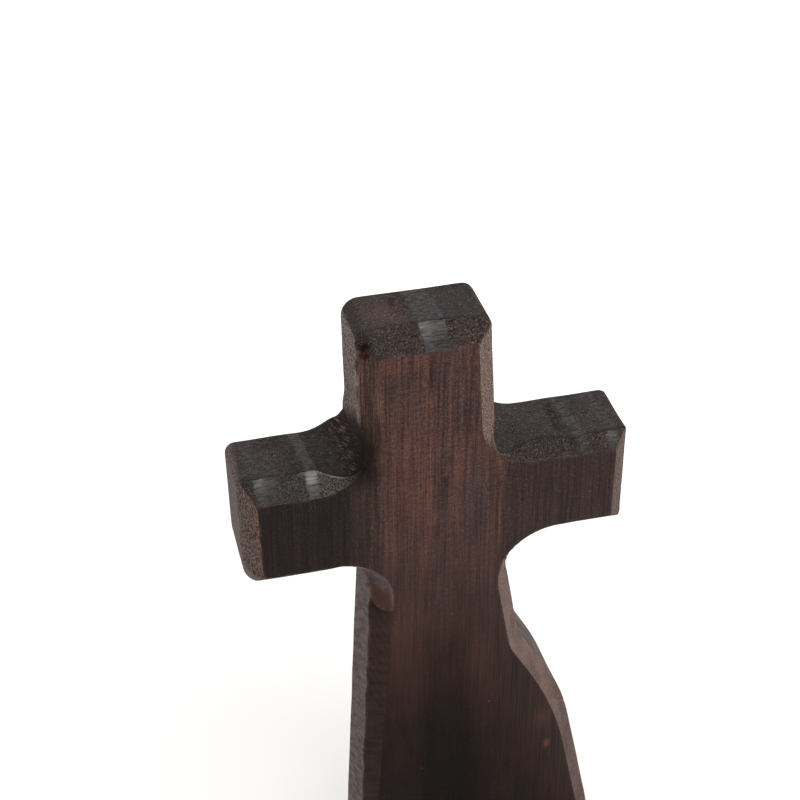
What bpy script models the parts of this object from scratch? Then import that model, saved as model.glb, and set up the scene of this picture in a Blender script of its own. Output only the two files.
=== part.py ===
"""A free-standing wooden cross, sawn and carved from one thick board.

Its outline is a cross whose stem bows out to the right, above a flat sawn foot. The front edges are
cut back by broad chamfers that run out in the four scooped inner corners, and the back edges are only
eased. Metres, +Z up. The front faces -Y, and the origin is under the arms' middle, on the floor.
"""

import math
from collections import namedtuple

import bmesh
import bpy
from mathutils import Matrix, Vector

MM = 0.001

# The board that the cross is cut from
THICKNESS = 22.0 * MM

# Heights, from the foot upwards
STEM_HEIGHT = 132.7 * MM
LEFT_ARM_HEIGHT = 31.1 * MM
RIGHT_ARM_HEIGHT = 27.8 * MM
RIGHT_ARM_LIFT = 2.4 * MM
HEAD_RISE = 38.3 * MM

# Widths: the arms from tip to tip, then the others, each with how far its middle lies to the right
SPAN = 101.4 * MM
LEFT_END_LEAN = 0.8 * MM
HEAD_TOP_WIDTH = 33.8 * MM
HEAD_TOP_OFFSET = -3.2 * MM
HEAD_WIDTH = 35.0 * MM
HEAD_OFFSET = -1.7 * MM
NECK_WIDTH = 34.2 * MM
NECK_OFFSET = 0.6 * MM
FOOT_WIDTH = 71.5 * MM
FOOT_OFFSET = 13.75 * MM

# The bow on the stem's right side: three corners, each as a drop below the right arm and a distance
# out from the neck's right side, which large radii then turn into one sweep
BOW_START_DROP = 37.6 * MM
BOW_START_OUT = 6.6 * MM
BOW_SHOULDER_DROP = 62.1 * MM
BOW_SHOULDER_OUT = 20.4 * MM
BOW_FLANK_DROP = 110.1 * MM
BOW_FLANK_OUT = 30.2 * MM

# Radii in the front view
HEAD_LEFT_RADIUS = 4.6 * MM
HEAD_RIGHT_RADIUS = 3.2 * MM
LEFT_END_RADIUS = 2.8 * MM
LEFT_END_UNDER_RADIUS = 4.8 * MM
RIGHT_END_RADIUS = 2.0 * MM
FOOT_CORNER_RADIUS = 1.2 * MM
HEAD_LEFT_CROTCH_RADIUS = 12.0 * MM
HEAD_RIGHT_CROTCH_RADIUS = 10.0 * MM
LEFT_UNDERARM_RADIUS = 10.5 * MM
RIGHT_UNDERARM_RADIUS = 13.5 * MM
BOW_START_RADIUS = 8.0 * MM
BOW_SHOULDER_RADIUS = 110.0 * MM
BOW_FLANK_RADIUS = 150.0 * MM
SMALLEST_RADIUS = 0.6 * MM

# Chamfers along the front edges, by their widths on the face. Each is as deep as it is wide, but for
# the two on the arms, which lie flatter against the face
HEAD_TOP_CHAMFER = 5.3 * MM
HEAD_LEFT_CHAMFER = 4.8 * MM
HEAD_RIGHT_CHAMFER = 4.2 * MM
LEFT_ARM_TOP_CHAMFER = 6.1 * MM
LEFT_ARM_TOP_DEPTH = 3.8 * MM
RIGHT_ARM_TOP_CHAMFER = 4.3 * MM
RIGHT_ARM_TOP_DEPTH = 3.0 * MM
LEFT_END_CHAMFER = 4.5 * MM
RIGHT_END_CHAMFER = 3.8 * MM
UNDERARM_CHAMFER = 1.8 * MM
STEM_LEFT_CHAMFER = 5.4 * MM
STEM_LEFT_FOOT_CHAMFER = 3.2 * MM
BOW_CHAMFER = 3.8 * MM
BOW_FOOT_CHAMFER = 2.6 * MM
FOOT_EASING = 0.8 * MM
BACK_EASING = 1.5 * MM

# The share of a chamfer's width that is lost where it runs out in an inner corner
CROTCH_RUN_OUT = 0.8

# Steps along the round stretches, and the angle above which an edge is shaded sharp
CORNER_STEPS = 5
CROTCH_STEPS = 14
BOW_STEPS = 10
SHARP_ANGLE = math.radians(25.0)

# The stain's colour (linear), and its dull satin surface
STAIN_COLOUR = (0.045, 0.022, 0.017, 1.0)
STAIN_ROUGHNESS = 0.55

# A chamfer's width on the face and its depth into the board
Chamfer = namedtuple("Chamfer", "width depth")

# A corner of the outline: its place (x, z), its radius and the steps along it, whether a chamfer runs
# out in it, and the chamfers of the sides before and after it
Corner = namedtuple("Corner", "place radius steps runs_out before after")


def even(width):
    """A chamfer that is as deep as it is wide."""
    return Chamfer(width, width)


def outline():
    """The front view's corners, clockwise from the head's upper left."""
    left_under = STEM_HEIGHT
    left_top = left_under + LEFT_ARM_HEIGHT
    right_under = STEM_HEIGHT + RIGHT_ARM_LIFT
    right_top = right_under + RIGHT_ARM_HEIGHT
    head_top = left_top + HEAD_RISE
    neck_right = NECK_OFFSET + NECK_WIDTH / 2

    head_top_cut = even(HEAD_TOP_CHAMFER)
    head_left_cut = even(HEAD_LEFT_CHAMFER)
    head_right_cut = even(HEAD_RIGHT_CHAMFER)
    left_top_cut = Chamfer(LEFT_ARM_TOP_CHAMFER, LEFT_ARM_TOP_DEPTH)
    right_top_cut = Chamfer(RIGHT_ARM_TOP_CHAMFER, RIGHT_ARM_TOP_DEPTH)
    left_end_cut = even(LEFT_END_CHAMFER)
    right_end_cut = even(RIGHT_END_CHAMFER)
    underarm_cut = even(UNDERARM_CHAMFER)
    stem_left_cut = even(STEM_LEFT_CHAMFER)
    bow_cut = even(BOW_CHAMFER)
    foot_cut = even(FOOT_EASING)

    def across(middle, width, side):
        return middle + side * width / 2

    def outer(x, z, radius, before, after):
        return Corner(Vector((x, z)), radius, CORNER_STEPS, False, before, after)

    def head(side, radius, before, after):
        x = across(HEAD_TOP_OFFSET, HEAD_TOP_WIDTH, side)
        return outer(x, head_top, radius, before, after)

    def foot(side, before, after):
        x = across(FOOT_OFFSET, FOOT_WIDTH, side)
        return outer(x, 0.0, FOOT_CORNER_RADIUS, before, after)

    def crotch(x, z, radius, before, after):
        return Corner(Vector((x, z)), radius, CROTCH_STEPS, True, before, after)

    def bow(out, drop, radius):
        place = Vector((neck_right + out, right_under - drop))
        return Corner(place, radius, BOW_STEPS, False, bow_cut, bow_cut)

    head_right = across(HEAD_OFFSET, HEAD_WIDTH, 1)
    head_left = across(HEAD_OFFSET, HEAD_WIDTH, -1)
    neck_left = across(NECK_OFFSET, NECK_WIDTH, -1)
    tip = SPAN / 2
    return [
        head(-1, HEAD_LEFT_RADIUS, head_left_cut, head_top_cut),
        head(1, HEAD_RIGHT_RADIUS, head_top_cut, head_right_cut),
        crotch(head_right, right_top, HEAD_RIGHT_CROTCH_RADIUS, head_right_cut, right_top_cut),
        outer(tip, right_top, RIGHT_END_RADIUS, right_top_cut, right_end_cut),
        outer(tip, right_under, RIGHT_END_RADIUS, right_end_cut, underarm_cut),
        crotch(neck_right, right_under, RIGHT_UNDERARM_RADIUS, underarm_cut, bow_cut),
        bow(BOW_START_OUT, BOW_START_DROP, BOW_START_RADIUS),
        bow(BOW_SHOULDER_OUT, BOW_SHOULDER_DROP, BOW_SHOULDER_RADIUS),
        bow(BOW_FLANK_OUT, BOW_FLANK_DROP, BOW_FLANK_RADIUS),
        foot(1, even(BOW_FOOT_CHAMFER), foot_cut),
        foot(-1, foot_cut, even(STEM_LEFT_FOOT_CHAMFER)),
        crotch(neck_left, left_under, LEFT_UNDERARM_RADIUS, stem_left_cut, underarm_cut),
        outer(-tip + LEFT_END_LEAN, left_under, LEFT_END_UNDER_RADIUS, underarm_cut, left_end_cut),
        outer(-tip, left_top, LEFT_END_RADIUS, left_end_cut, left_top_cut),
        crotch(head_left, left_top, HEAD_LEFT_CROTCH_RADIUS, left_top_cut, head_left_cut),
    ]


def back_eased(corner):
    """The same corner with the back's easings in place of the front's chamfers."""
    return corner._replace(
        before=even(min(corner.before.width, BACK_EASING)),
        after=even(min(corner.after.width, BACK_EASING)),
    )


def square_cut(corner):
    """The same corner with no chamfer."""
    return corner._replace(before=even(0.0), after=even(0.0))


def inward(direction):
    """The normal into the wood, for a side that runs clockwise."""
    return Vector((direction.y, -direction.x))


def cross_2d(a, b):
    return a.x * b.y - a.y * b.x


def moved_side(first, last):
    """A side after its two ends move inwards, each by its own chamfer: a point and a direction."""
    normal = inward((last.place - first.place).normalized())
    start = first.place + normal * first.after.width
    end = last.place + normal * last.before.width
    return start, (end - start).normalized()


def rounded_ring(corners):
    """The closed line through the corners after every side moves inwards by its chamfer.

    Each corner becomes an arc of its own count of steps, so rings of different chamfers match point
    for point. An inner corner's radius grows by the chamfer, and an outer one's shrinks.
    """
    sides = [moved_side(c, corners[(i + 1) % len(corners)]) for i, c in enumerate(corners)]
    ring = []
    for i, corner in enumerate(corners):
        start, along = sides[i - 1]
        end, onwards = sides[i]
        place = start + along * (cross_2d(end - start, onwards) / cross_2d(along, onwards))
        turn = math.atan2(cross_2d(along, onwards), along.dot(onwards))
        inset = (corner.before.width + corner.after.width) / 2
        radius = max(corner.radius + math.copysign(inset, turn), SMALLEST_RADIUS)
        first = place - along * (radius * math.tan(abs(turn) / 2))
        centre = first - inward(along) * math.copysign(radius, turn)
        for step in range(corner.steps + 1):
            swing = Matrix.Rotation(turn * step / corner.steps, 2)
            ring.append(centre + swing @ (first - centre))
    return ring


def along_corners(corners):
    """For each point of a ring: its chamfer's depth, and how far that chamfer has run out there."""
    points = []
    for corner in corners:
        for step in range(corner.steps + 1):
            share = step / corner.steps
            depth = corner.before.depth + (corner.after.depth - corner.before.depth) * share
            lost = CROTCH_RUN_OUT * math.sin(math.pi * share) ** 2 if corner.runs_out else 0.0
            points.append((depth, lost))
    return points


def cross_rings():
    """The four closed lines that bound the cross: front face, chamfer's edge, side's back, back face.

    In an inner corner the chamfer's edge slides towards the front face's edge, so that the chamfer
    runs out and the side itself slopes, as a rasp held askew leaves it.
    """
    corners = outline()
    eased = [back_eased(c) for c in corners]
    face = rounded_ring(corners)
    side = rounded_ring([square_cut(c) for c in corners])
    back = rounded_ring(eased)
    front_y = -THICKNESS / 2
    back_y = THICKNESS / 2

    edge = []
    for (depth, lost), inner, outer in zip(along_corners(corners), face, side):
        place = outer.lerp(inner, lost)
        edge.append(Vector((place.x, front_y + depth * (1 - lost), place.y)))
    side_back = []
    for (depth, _), outer in zip(along_corners(eased), side):
        side_back.append(Vector((outer.x, back_y - depth, outer.y)))
    face_ring = [Vector((p.x, front_y, p.y)) for p in face]
    back_ring = [Vector((p.x, back_y, p.y)) for p in back]
    return [face_ring, edge, side_back, back_ring]


def cross_mesh():
    """The closed mesh between the four rings, with the front and back faces filled."""
    bm = bmesh.new()
    rings = [[bm.verts.new(p) for p in ring] for ring in cross_rings()]
    count = len(rings[0])
    for near, far in zip(rings, rings[1:]):
        for i in range(count):
            j = (i + 1) % count
            bm.faces.new((near[i], near[j], far[j], far[i]))
    bm.faces.new(rings[0])
    bm.faces.new(rings[-1])
    bmesh.ops.recalc_face_normals(bm, faces=bm.faces)
    mesh = bpy.data.meshes.new("wooden_cross")
    bm.to_mesh(mesh)
    bm.free()
    mesh.shade_smooth()
    mesh.set_sharp_from_angle(angle=SHARP_ANGLE)
    return mesh


def stained_wood():
    """Dark stained hardwood with a dull satin surface."""
    material = bpy.data.materials.new("stained_wood")
    material.use_nodes = True
    shader = material.node_tree.nodes["Principled BSDF"]
    shader.inputs["Base Color"].default_value = STAIN_COLOUR
    shader.inputs["Roughness"].default_value = STAIN_ROUGHNESS
    shader.inputs["Metallic"].default_value = 0.0
    return material


def build():
    for old in list(bpy.data.objects):
        bpy.data.objects.remove(old)
    mesh = cross_mesh()
    mesh.materials.append(stained_wood())
    cross = bpy.data.objects.new("wooden_cross", mesh)
    bpy.context.scene.collection.objects.link(cross)


build()
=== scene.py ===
"""The looks of a standing wooden cross: one thick board, sawn, rasped and stained dark brown.

One carved mesh replaces the plain solid. Its rim is a profile carried round the outline, its two faces
are grids stretched between the rim's edges, and the tool marks are worked into it along its normals.
Lengths are in millimetres until the mesh is made. The front faces -Y and the grain runs along Z.
"""

import math
from collections import namedtuple

import bpy
import numpy as np
from mathutils import Matrix, Vector


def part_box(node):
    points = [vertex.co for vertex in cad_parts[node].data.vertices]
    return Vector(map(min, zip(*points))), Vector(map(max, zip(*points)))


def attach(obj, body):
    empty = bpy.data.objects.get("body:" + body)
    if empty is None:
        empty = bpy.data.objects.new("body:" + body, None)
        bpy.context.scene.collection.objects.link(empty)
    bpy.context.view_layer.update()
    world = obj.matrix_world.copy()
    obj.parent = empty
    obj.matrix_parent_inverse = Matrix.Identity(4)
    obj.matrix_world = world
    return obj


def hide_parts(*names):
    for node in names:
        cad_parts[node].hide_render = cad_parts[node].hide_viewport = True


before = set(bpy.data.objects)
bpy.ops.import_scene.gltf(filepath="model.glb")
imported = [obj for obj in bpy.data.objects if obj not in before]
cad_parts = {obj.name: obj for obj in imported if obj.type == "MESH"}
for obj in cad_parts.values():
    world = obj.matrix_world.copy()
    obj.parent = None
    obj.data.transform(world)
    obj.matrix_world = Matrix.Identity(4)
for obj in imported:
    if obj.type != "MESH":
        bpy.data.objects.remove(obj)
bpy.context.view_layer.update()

MM = 0.001
LOW, HIGH = (np.array(corner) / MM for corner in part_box("wooden_cross"))

# The board and the outline's heights and widths, as in the solid
FRONT, BACK = LOW[1], HIGH[1]
LEFT_TIP, RIGHT_TIP = LOW[0], HIGH[0]
HEAD_TOP = HIGH[2]
STEM_HEIGHT = 132.7
LEFT_ARM_HEIGHT = 31.1
RIGHT_ARM_HEIGHT = 27.8
RIGHT_ARM_LIFT = 2.4
LEFT_END_LEAN = 0.8
HEAD_TOP_WIDTH = 33.8
HEAD_TOP_OFFSET = -3.2
HEAD_WIDTH = 35.0
HEAD_OFFSET = -1.7
NECK_WIDTH = 34.2
NECK_OFFSET = 0.6
FOOT_WIDTH = 71.5
FOOT_OFFSET = 13.75
BOW_START_DROP, BOW_START_OUT = 37.6, 6.6
BOW_SHOULDER_DROP, BOW_SHOULDER_OUT = 62.1, 20.4
BOW_FLANK_DROP, BOW_FLANK_OUT = 110.1, 30.2

# Radii in the front view. The outer corners are crisper along the chamfers' edges than at the back
HEAD_LEFT_RADIUS = 4.6
HEAD_RIGHT_RADIUS = 3.2
LEFT_END_RADIUS = 2.8
LEFT_END_UNDER_RADIUS = 4.8
RIGHT_END_RADIUS = 2.0
FOOT_CORNER_RADIUS = 1.2
HEAD_LEFT_CROTCH_RADIUS = 12.0
HEAD_RIGHT_CROTCH_RADIUS = 10.0
LEFT_UNDERARM_RADIUS = 10.5
RIGHT_UNDERARM_RADIUS = 13.5
BOW_START_RADIUS = 8.0
BOW_SHOULDER_RADIUS = 110.0
BOW_FLANK_RADIUS = 150.0
SMALLEST_RADIUS = 0.6
CRISPER = 0.6

# Chamfers along the front edges: each one's width on the face and its depth into the board
Chamfer = namedtuple("Chamfer", "width depth")
HEAD_TOP_CHAMFER = Chamfer(5.3, 5.3)
HEAD_LEFT_CHAMFER = Chamfer(4.8, 4.8)
HEAD_RIGHT_CHAMFER = Chamfer(4.2, 4.2)
LEFT_ARM_TOP_CHAMFER = Chamfer(6.1, 3.8)
RIGHT_ARM_TOP_CHAMFER = Chamfer(4.3, 3.0)
LEFT_END_CHAMFER = Chamfer(4.5, 4.5)
RIGHT_END_CHAMFER = Chamfer(3.8, 3.8)
UNDERARM_CHAMFER = Chamfer(1.8, 1.8)
STEM_LEFT_CHAMFER = Chamfer(5.4, 5.4)
STEM_LEFT_FOOT_CHAMFER = Chamfer(3.2, 3.2)
BOW_CHAMFER = Chamfer(3.8, 3.8)
BOW_FOOT_CHAMFER = Chamfer(2.6, 2.6)
FOOT_EASING = Chamfer(0.8, 0.8)
NO_CHAMFER = Chamfer(0.0, 0.0)
BACK_EASING = 1.5
CROTCH_RUN_OUT = 0.8

# Where the knife wandered along the upper chamfers: the place x, half the length, and how much further
# back the chamfer's edge lies there. It rode over the hard rings and sank in between them
WANDERS = (
    (-4.0, 9.0, 0.6), (12.5, 4.0, -0.9), (-17.0, 4.0, -0.5),
    (28.5, 4.5, 0.8), (36.6, 2.0, -1.5), (43.0, 3.0, -0.3), (-42.0, 3.0, 0.3), (-31.5, 2.5, 0.3),
)
WANDERS_ABOVE = STEM_HEIGHT + 20.0
LEAST_CHAMFER = 0.3

# Small rounds that use has worn on the arrises, from the front face's edge to the back face's
ARRIS_ROUNDS = (0.3, 0.4, 0.8, 0.8)

# The mesh: how many quads along each part of the outline and across each stretch of the profile, the
# stem's shortest step as a share of its mean one, the width of the band round each face, half a
# round's stretch of station, and the largest share of a run that a round takes
ARC_SAMPLES = 40
ACROSS_STEM = 84
ALONG_HEAD = 50
ALONG_ARM = 44
ACROSS_ARM = 40
ALONG_STEM = 175
SHORTEST_STEP = 0.55
FACE_BAND = 1.2
RUN_STEPS = (2, 9, 18, 2, 2)
ROUND_STEPS = 4
ROUND_HALF = 0.05
ROUND_ROOM = 0.4

# Stations count across the rim from 0 at the inner front line to 5 at the inner back line. Between are
# the face's arris, the crease between chamfer and side, the back easing's start, and the back's arris
AT_FACE, AT_CREASE, AT_EASING, AT_BACK = 1.0, 2.0, 3.0, 4.0

Corner = namedtuple("Corner", "x z radius runs_out before after")


def sides(offset, width):
    """The left and the right end of a width that has its middle at the offset."""
    return offset - width / 2, offset + width / 2


def outline():
    """The front view's corners, clockwise from the head's upper left, with their front chamfers."""
    left_under = STEM_HEIGHT
    left_top = left_under + LEFT_ARM_HEIGHT
    right_under = STEM_HEIGHT + RIGHT_ARM_LIFT
    right_top = right_under + RIGHT_ARM_HEIGHT
    head_left, head_right = sides(HEAD_OFFSET, HEAD_WIDTH)
    top_left, top_right = sides(HEAD_TOP_OFFSET, HEAD_TOP_WIDTH)
    neck_left, neck_right = sides(NECK_OFFSET, NECK_WIDTH)
    foot_left, foot_right = sides(FOOT_OFFSET, FOOT_WIDTH)
    left_tip_under = LEFT_TIP + LEFT_END_LEAN

    def outer(x, z, radius, before, after):
        return Corner(x, z, radius, False, before, after)

    def crotch(x, z, radius, before, after):
        return Corner(x, z, radius, True, before, after)

    def bow(out, drop, radius):
        return outer(neck_right + out, right_under - drop, radius, BOW_CHAMFER, BOW_CHAMFER)

    return [
        outer(top_left, HEAD_TOP, HEAD_LEFT_RADIUS, HEAD_LEFT_CHAMFER, HEAD_TOP_CHAMFER),
        outer(top_right, HEAD_TOP, HEAD_RIGHT_RADIUS, HEAD_TOP_CHAMFER, HEAD_RIGHT_CHAMFER),
        crotch(head_right, right_top, HEAD_RIGHT_CROTCH_RADIUS, HEAD_RIGHT_CHAMFER, RIGHT_ARM_TOP_CHAMFER),
        outer(RIGHT_TIP, right_top, RIGHT_END_RADIUS, RIGHT_ARM_TOP_CHAMFER, RIGHT_END_CHAMFER),
        outer(RIGHT_TIP, right_under, RIGHT_END_RADIUS, RIGHT_END_CHAMFER, UNDERARM_CHAMFER),
        crotch(neck_right, right_under, RIGHT_UNDERARM_RADIUS, UNDERARM_CHAMFER, BOW_CHAMFER),
        bow(BOW_START_OUT, BOW_START_DROP, BOW_START_RADIUS),
        bow(BOW_SHOULDER_OUT, BOW_SHOULDER_DROP, BOW_SHOULDER_RADIUS),
        bow(BOW_FLANK_OUT, BOW_FLANK_DROP, BOW_FLANK_RADIUS),
        outer(foot_right, 0.0, FOOT_CORNER_RADIUS, BOW_FOOT_CHAMFER, FOOT_EASING),
        outer(foot_left, 0.0, FOOT_CORNER_RADIUS, FOOT_EASING, STEM_LEFT_FOOT_CHAMFER),
        crotch(neck_left, left_under, LEFT_UNDERARM_RADIUS, STEM_LEFT_CHAMFER, UNDERARM_CHAMFER),
        outer(left_tip_under, left_under, LEFT_END_UNDER_RADIUS, UNDERARM_CHAMFER, LEFT_END_CHAMFER),
        outer(LEFT_TIP, left_top, LEFT_END_RADIUS, LEFT_END_CHAMFER, LEFT_ARM_TOP_CHAMFER),
        crotch(head_left, left_top, HEAD_LEFT_CROTCH_RADIUS, LEFT_ARM_TOP_CHAMFER, HEAD_LEFT_CHAMFER),
    ]


def unit(vectors):
    return vectors / np.maximum(np.linalg.norm(vectors, axis=-1, keepdims=True), 1e-12)


def cross_2d(a, b):
    return a[:, 0] * b[:, 1] - a[:, 1] * b[:, 0]


def inset_line(corners, more=0.0):
    """The closed line left when every side moves inwards: arcs of equal sample counts, one a corner.

    A side's ends move along its normal by their own chamfers' widths and `more`, two sides meet in a
    corner, and its arc is centre + R(turn * share) (first - centre), for shares from 0 to 1.
    """
    place = np.array([(c.x, c.z) for c in corners])
    before = np.array([c.before.width for c in corners]) + more
    after = np.array([c.after.width for c in corners]) + more
    following = np.roll(place, -1, axis=0)
    normal = unit(following - place)[:, ::-1] * (1, -1)
    start = place + normal * after[:, None]
    end = following + normal * np.roll(before, -1)[:, None]
    along = unit(end - start)
    last_start = np.roll(start, 1, axis=0)
    last_along = np.roll(along, 1, axis=0)
    reach = cross_2d(start - last_start, along) / cross_2d(last_along, along)
    corner = last_start + last_along * reach[:, None]
    turn = np.arctan2(cross_2d(last_along, along), (last_along * along).sum(1))
    radius = np.array([c.radius for c in corners]) + np.copysign((before + after) / 2, turn)
    radius = np.maximum(radius, SMALLEST_RADIUS)
    first = corner - last_along * (radius * np.tan(abs(turn) / 2))[:, None]
    spoke = last_along[:, ::-1] * (1, -1) * np.copysign(radius, turn)[:, None]
    angle = turn[:, None] * np.linspace(0, 1, ARC_SAMPLES + 1)
    turned_x = spoke[:, :1] * np.cos(angle) - spoke[:, 1:] * np.sin(angle)
    turned_z = spoke[:, :1] * np.sin(angle) + spoke[:, 1:] * np.cos(angle)
    centre = first - spoke
    arcs = np.stack([centre[:, :1] + turned_x, centre[:, 1:] + turned_z], axis=-1)
    return arcs.reshape(-1, 2)


def along_arcs(corners, before, after):
    """A value that goes evenly from `before` to `after` along each corner's arc, for all arcs in turn."""
    share = np.linspace(0, 1, ARC_SAMPLES + 1)
    return np.array([before(c) + (after(c) - before(c)) * share for c in corners]).reshape(-1)


def eased(chamfer):
    """The back's easing, or less where the front has less."""
    width = min(chamfer.width, BACK_EASING)
    return Chamfer(width, width)


def profile_knots(corners):
    """Six matching closed lines: inner front, face's edge, chamfer's edge, side's back, back, inner back.

    In an inner corner the chamfer's edge slides CROTCH_RUN_OUT * sin^2(pi * share) of the way towards
    the face's edge, so that the chamfer runs out and the side itself slopes.
    """
    square = [c._replace(before=NO_CHAMFER, after=NO_CHAMFER) for c in corners]
    crisp = [c if c.runs_out else c._replace(radius=c.radius * CRISPER) for c in square]
    back = [c._replace(before=eased(c.before), after=eased(c.after)) for c in corners]
    depth = along_arcs(corners, lambda c: c.before.depth, lambda c: c.after.depth)
    back_depth = along_arcs(back, lambda c: c.before.depth, lambda c: c.after.depth)
    share = np.linspace(0, 1, ARC_SAMPLES + 1)
    lost = np.array([c.runs_out * CROTCH_RUN_OUT * np.sin(math.pi * share) ** 2 for c in corners]).reshape(-1)

    def at_depth(line, y):
        return np.stack([line[:, 0], y + line[:, 0] * 0, line[:, 1]], axis=-1)

    face = inset_line(corners)
    edge = inset_line(crisp)
    edge += (face - edge) * lost[:, None]
    return np.stack([
        at_depth(inset_line(corners, FACE_BAND), FRONT),
        at_depth(face, FRONT),
        at_depth(edge, FRONT + depth * (1 - lost)),
        at_depth(inset_line(square), BACK - back_depth),
        at_depth(inset_line(back), BACK),
        at_depth(inset_line(back, FACE_BAND), BACK),
    ])


def evenly_spread(knots):
    """The knots again at equal steps of length between the outline's block corners, and those corners.

    The block corners are the middles of the arcs of the four crotches and of the eight outer corners.
    Down the stem the steps grow from SHORTEST_STEP to twice the mean less that, as s t + (1 - s) t^2.
    """
    block_corners = [0, 1, 2, 3, 4, 5, 9, 10, 11, 12, 13, 14]
    down_stem, up_stem = 5, 7
    counts = [ACROSS_STEM, ALONG_HEAD, ALONG_ARM, ACROSS_ARM, ALONG_ARM, ALONG_STEM,
              ACROSS_STEM, ALONG_STEM, ALONG_ARM, ACROSS_ARM, ALONG_ARM, ALONG_HEAD]
    middle = ARC_SAMPLES // 2
    knots = np.roll(knots, -middle, axis=1)
    knots = np.concatenate([knots, knots[:, :1]], axis=1)
    steps = np.linalg.norm(np.diff(knots[2], axis=0), axis=1)
    length = np.concatenate([[0.0], np.cumsum(steps)])
    index = np.arange(len(length))
    stops = [c * (ARC_SAMPLES + 1) for c in block_corners] + [len(length) - 1]
    wanted = []
    for number, (a, b, count) in enumerate(zip(stops, stops[1:], counts)):
        share = np.linspace(0, 1, count, endpoint=False)
        if number == down_stem:
            share = SHORTEST_STEP * share + (1 - SHORTEST_STEP) * share ** 2
        if number == up_stem:
            share = 1 - SHORTEST_STEP * (1 - share) - (1 - SHORTEST_STEP) * (1 - share) ** 2
        wanted.append(length[a] + (length[b] - length[a]) * share)
    sample = np.interp(np.concatenate(wanted), length, index)
    even = np.stack([
        np.stack([np.interp(sample, index, knot[:, k]) for k in range(3)], axis=-1) for knot in knots
    ])
    crease, on_top = even[2], even[3, :, 2] > WANDERS_ABOVE
    for x, half_length, further in WANDERS:
        crease[:, 1] += on_top * further * ridge(crease[:, 0], x, half_length)
    crease[:, 1] = np.maximum(crease[:, 1], FRONT + LEAST_CHAMFER)
    firsts = np.concatenate([[0], np.cumsum(counts)])
    return even, np.concatenate(wanted), firsts


def profile_rows(knots):
    """Rows across the rim: straight runs between the knots, with a small round at each arris.

    A round is the curve (1-t)^2 start + 2t(1-t) arris + t^2 end. The second result is the rows' stations.
    """
    rows, stations = [], []
    last_place, last_station = knots[0], 0.0
    for arris in range(1, 5):
        towards_last = knots[arris - 1] - knots[arris]
        towards_next = knots[arris + 1] - knots[arris]
        ends = []
        for towards in (towards_last, towards_next):
            room = np.linalg.norm(towards, axis=-1, keepdims=True)
            reach = np.minimum(ARRIS_ROUNDS[arris - 1], ROUND_ROOM * room)
            ends.append(knots[arris] + unit(towards) * reach)
        for share in np.linspace(0, 1, RUN_STEPS[arris - 1], endpoint=False):
            rows.append(last_place + (ends[0] - last_place) * share)
            stations.append(last_station + (arris - ROUND_HALF - last_station) * share)
        for t in np.linspace(0, 1, ROUND_STEPS + 1)[:-1]:
            rows.append((1 - t) ** 2 * ends[0] + 2 * t * (1 - t) * knots[arris] + t ** 2 * ends[1])
            stations.append(arris - ROUND_HALF + 2 * ROUND_HALF * t)
        last_place, last_station = ends[1], arris + ROUND_HALF
    for share in np.linspace(0, 1, RUN_STEPS[4] + 1):
        rows.append(last_place + (knots[5] - last_place) * share)
        stations.append(last_station + (5 - last_station) * share)
    return np.stack(rows), np.array(stations)


class Shell:
    """The growing mesh: vertex places, what each vertex knows of the rim, and quads with their UVs."""

    def __init__(self):
        self.place = np.zeros((0, 3))
        self.station = np.zeros(0)
        self.quads = []
        self.uvs = []

    def add_points(self, place, station):
        first = len(self.place)
        self.place = np.concatenate([self.place, place.reshape(-1, 3)])
        self.station = np.concatenate([self.station, np.broadcast_to(station, place.shape[:-1]).reshape(-1)])
        return first + np.arange(len(self.place) - first).reshape(place.shape[:-1])

    def add_quads(self, grid, uv, flip):
        """Quads between neighbours of a grid of vertex numbers, with the grid's UVs at their corners."""
        def corners(values):
            sides = [values[:-1, :-1], values[:-1, 1:], values[1:, 1:], values[1:, :-1]]
            return np.stack(sides[::-1] if flip else sides, axis=2)

        self.quads.append(corners(grid).reshape(-1, 4))
        self.uvs.append(corners(uv).reshape(-1, 4, 2))


def coons_patch(top, bottom, left, right):
    """The surface between four edges: the ruled surfaces added up, less the corners' bilinear one."""
    u = np.linspace(0, 1, len(top))[None, :, None]
    v = np.linspace(0, 1, len(left))[:, None, None]
    across = (1 - v) * top[None] + v * bottom[None]
    down = (1 - u) * left[:, None] + u * right[:, None]
    corners = (1 - v) * ((1 - u) * top[0] + u * top[-1]) + v * ((1 - u) * bottom[0] + u * bottom[-1])
    return across + down - corners


def add_block(shell, top, bottom, left, right, station, flip):
    """One block of a face, between four edges of vertices that exist already."""
    place = coons_patch(*(shell.place[edge] for edge in (top, bottom, left, right)))
    grid = np.zeros(place.shape[:2], int)
    grid[0], grid[-1], grid[:, 0], grid[:, -1] = top, bottom, left, right
    grid[1:-1, 1:-1] = shell.add_points(place[1:-1, 1:-1], station)
    shell.add_quads(grid, place[..., [0, 2]], flip)


def inner_edge(shell, first, last, count, station):
    """A straight edge of new vertices between two vertices, both included."""
    share = np.linspace(0, 1, count + 1)[1:-1, None]
    place = shell.place[first] + (shell.place[last] - shell.place[first]) * share
    return np.concatenate([[first], shell.add_points(place, station), [last]])


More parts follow.
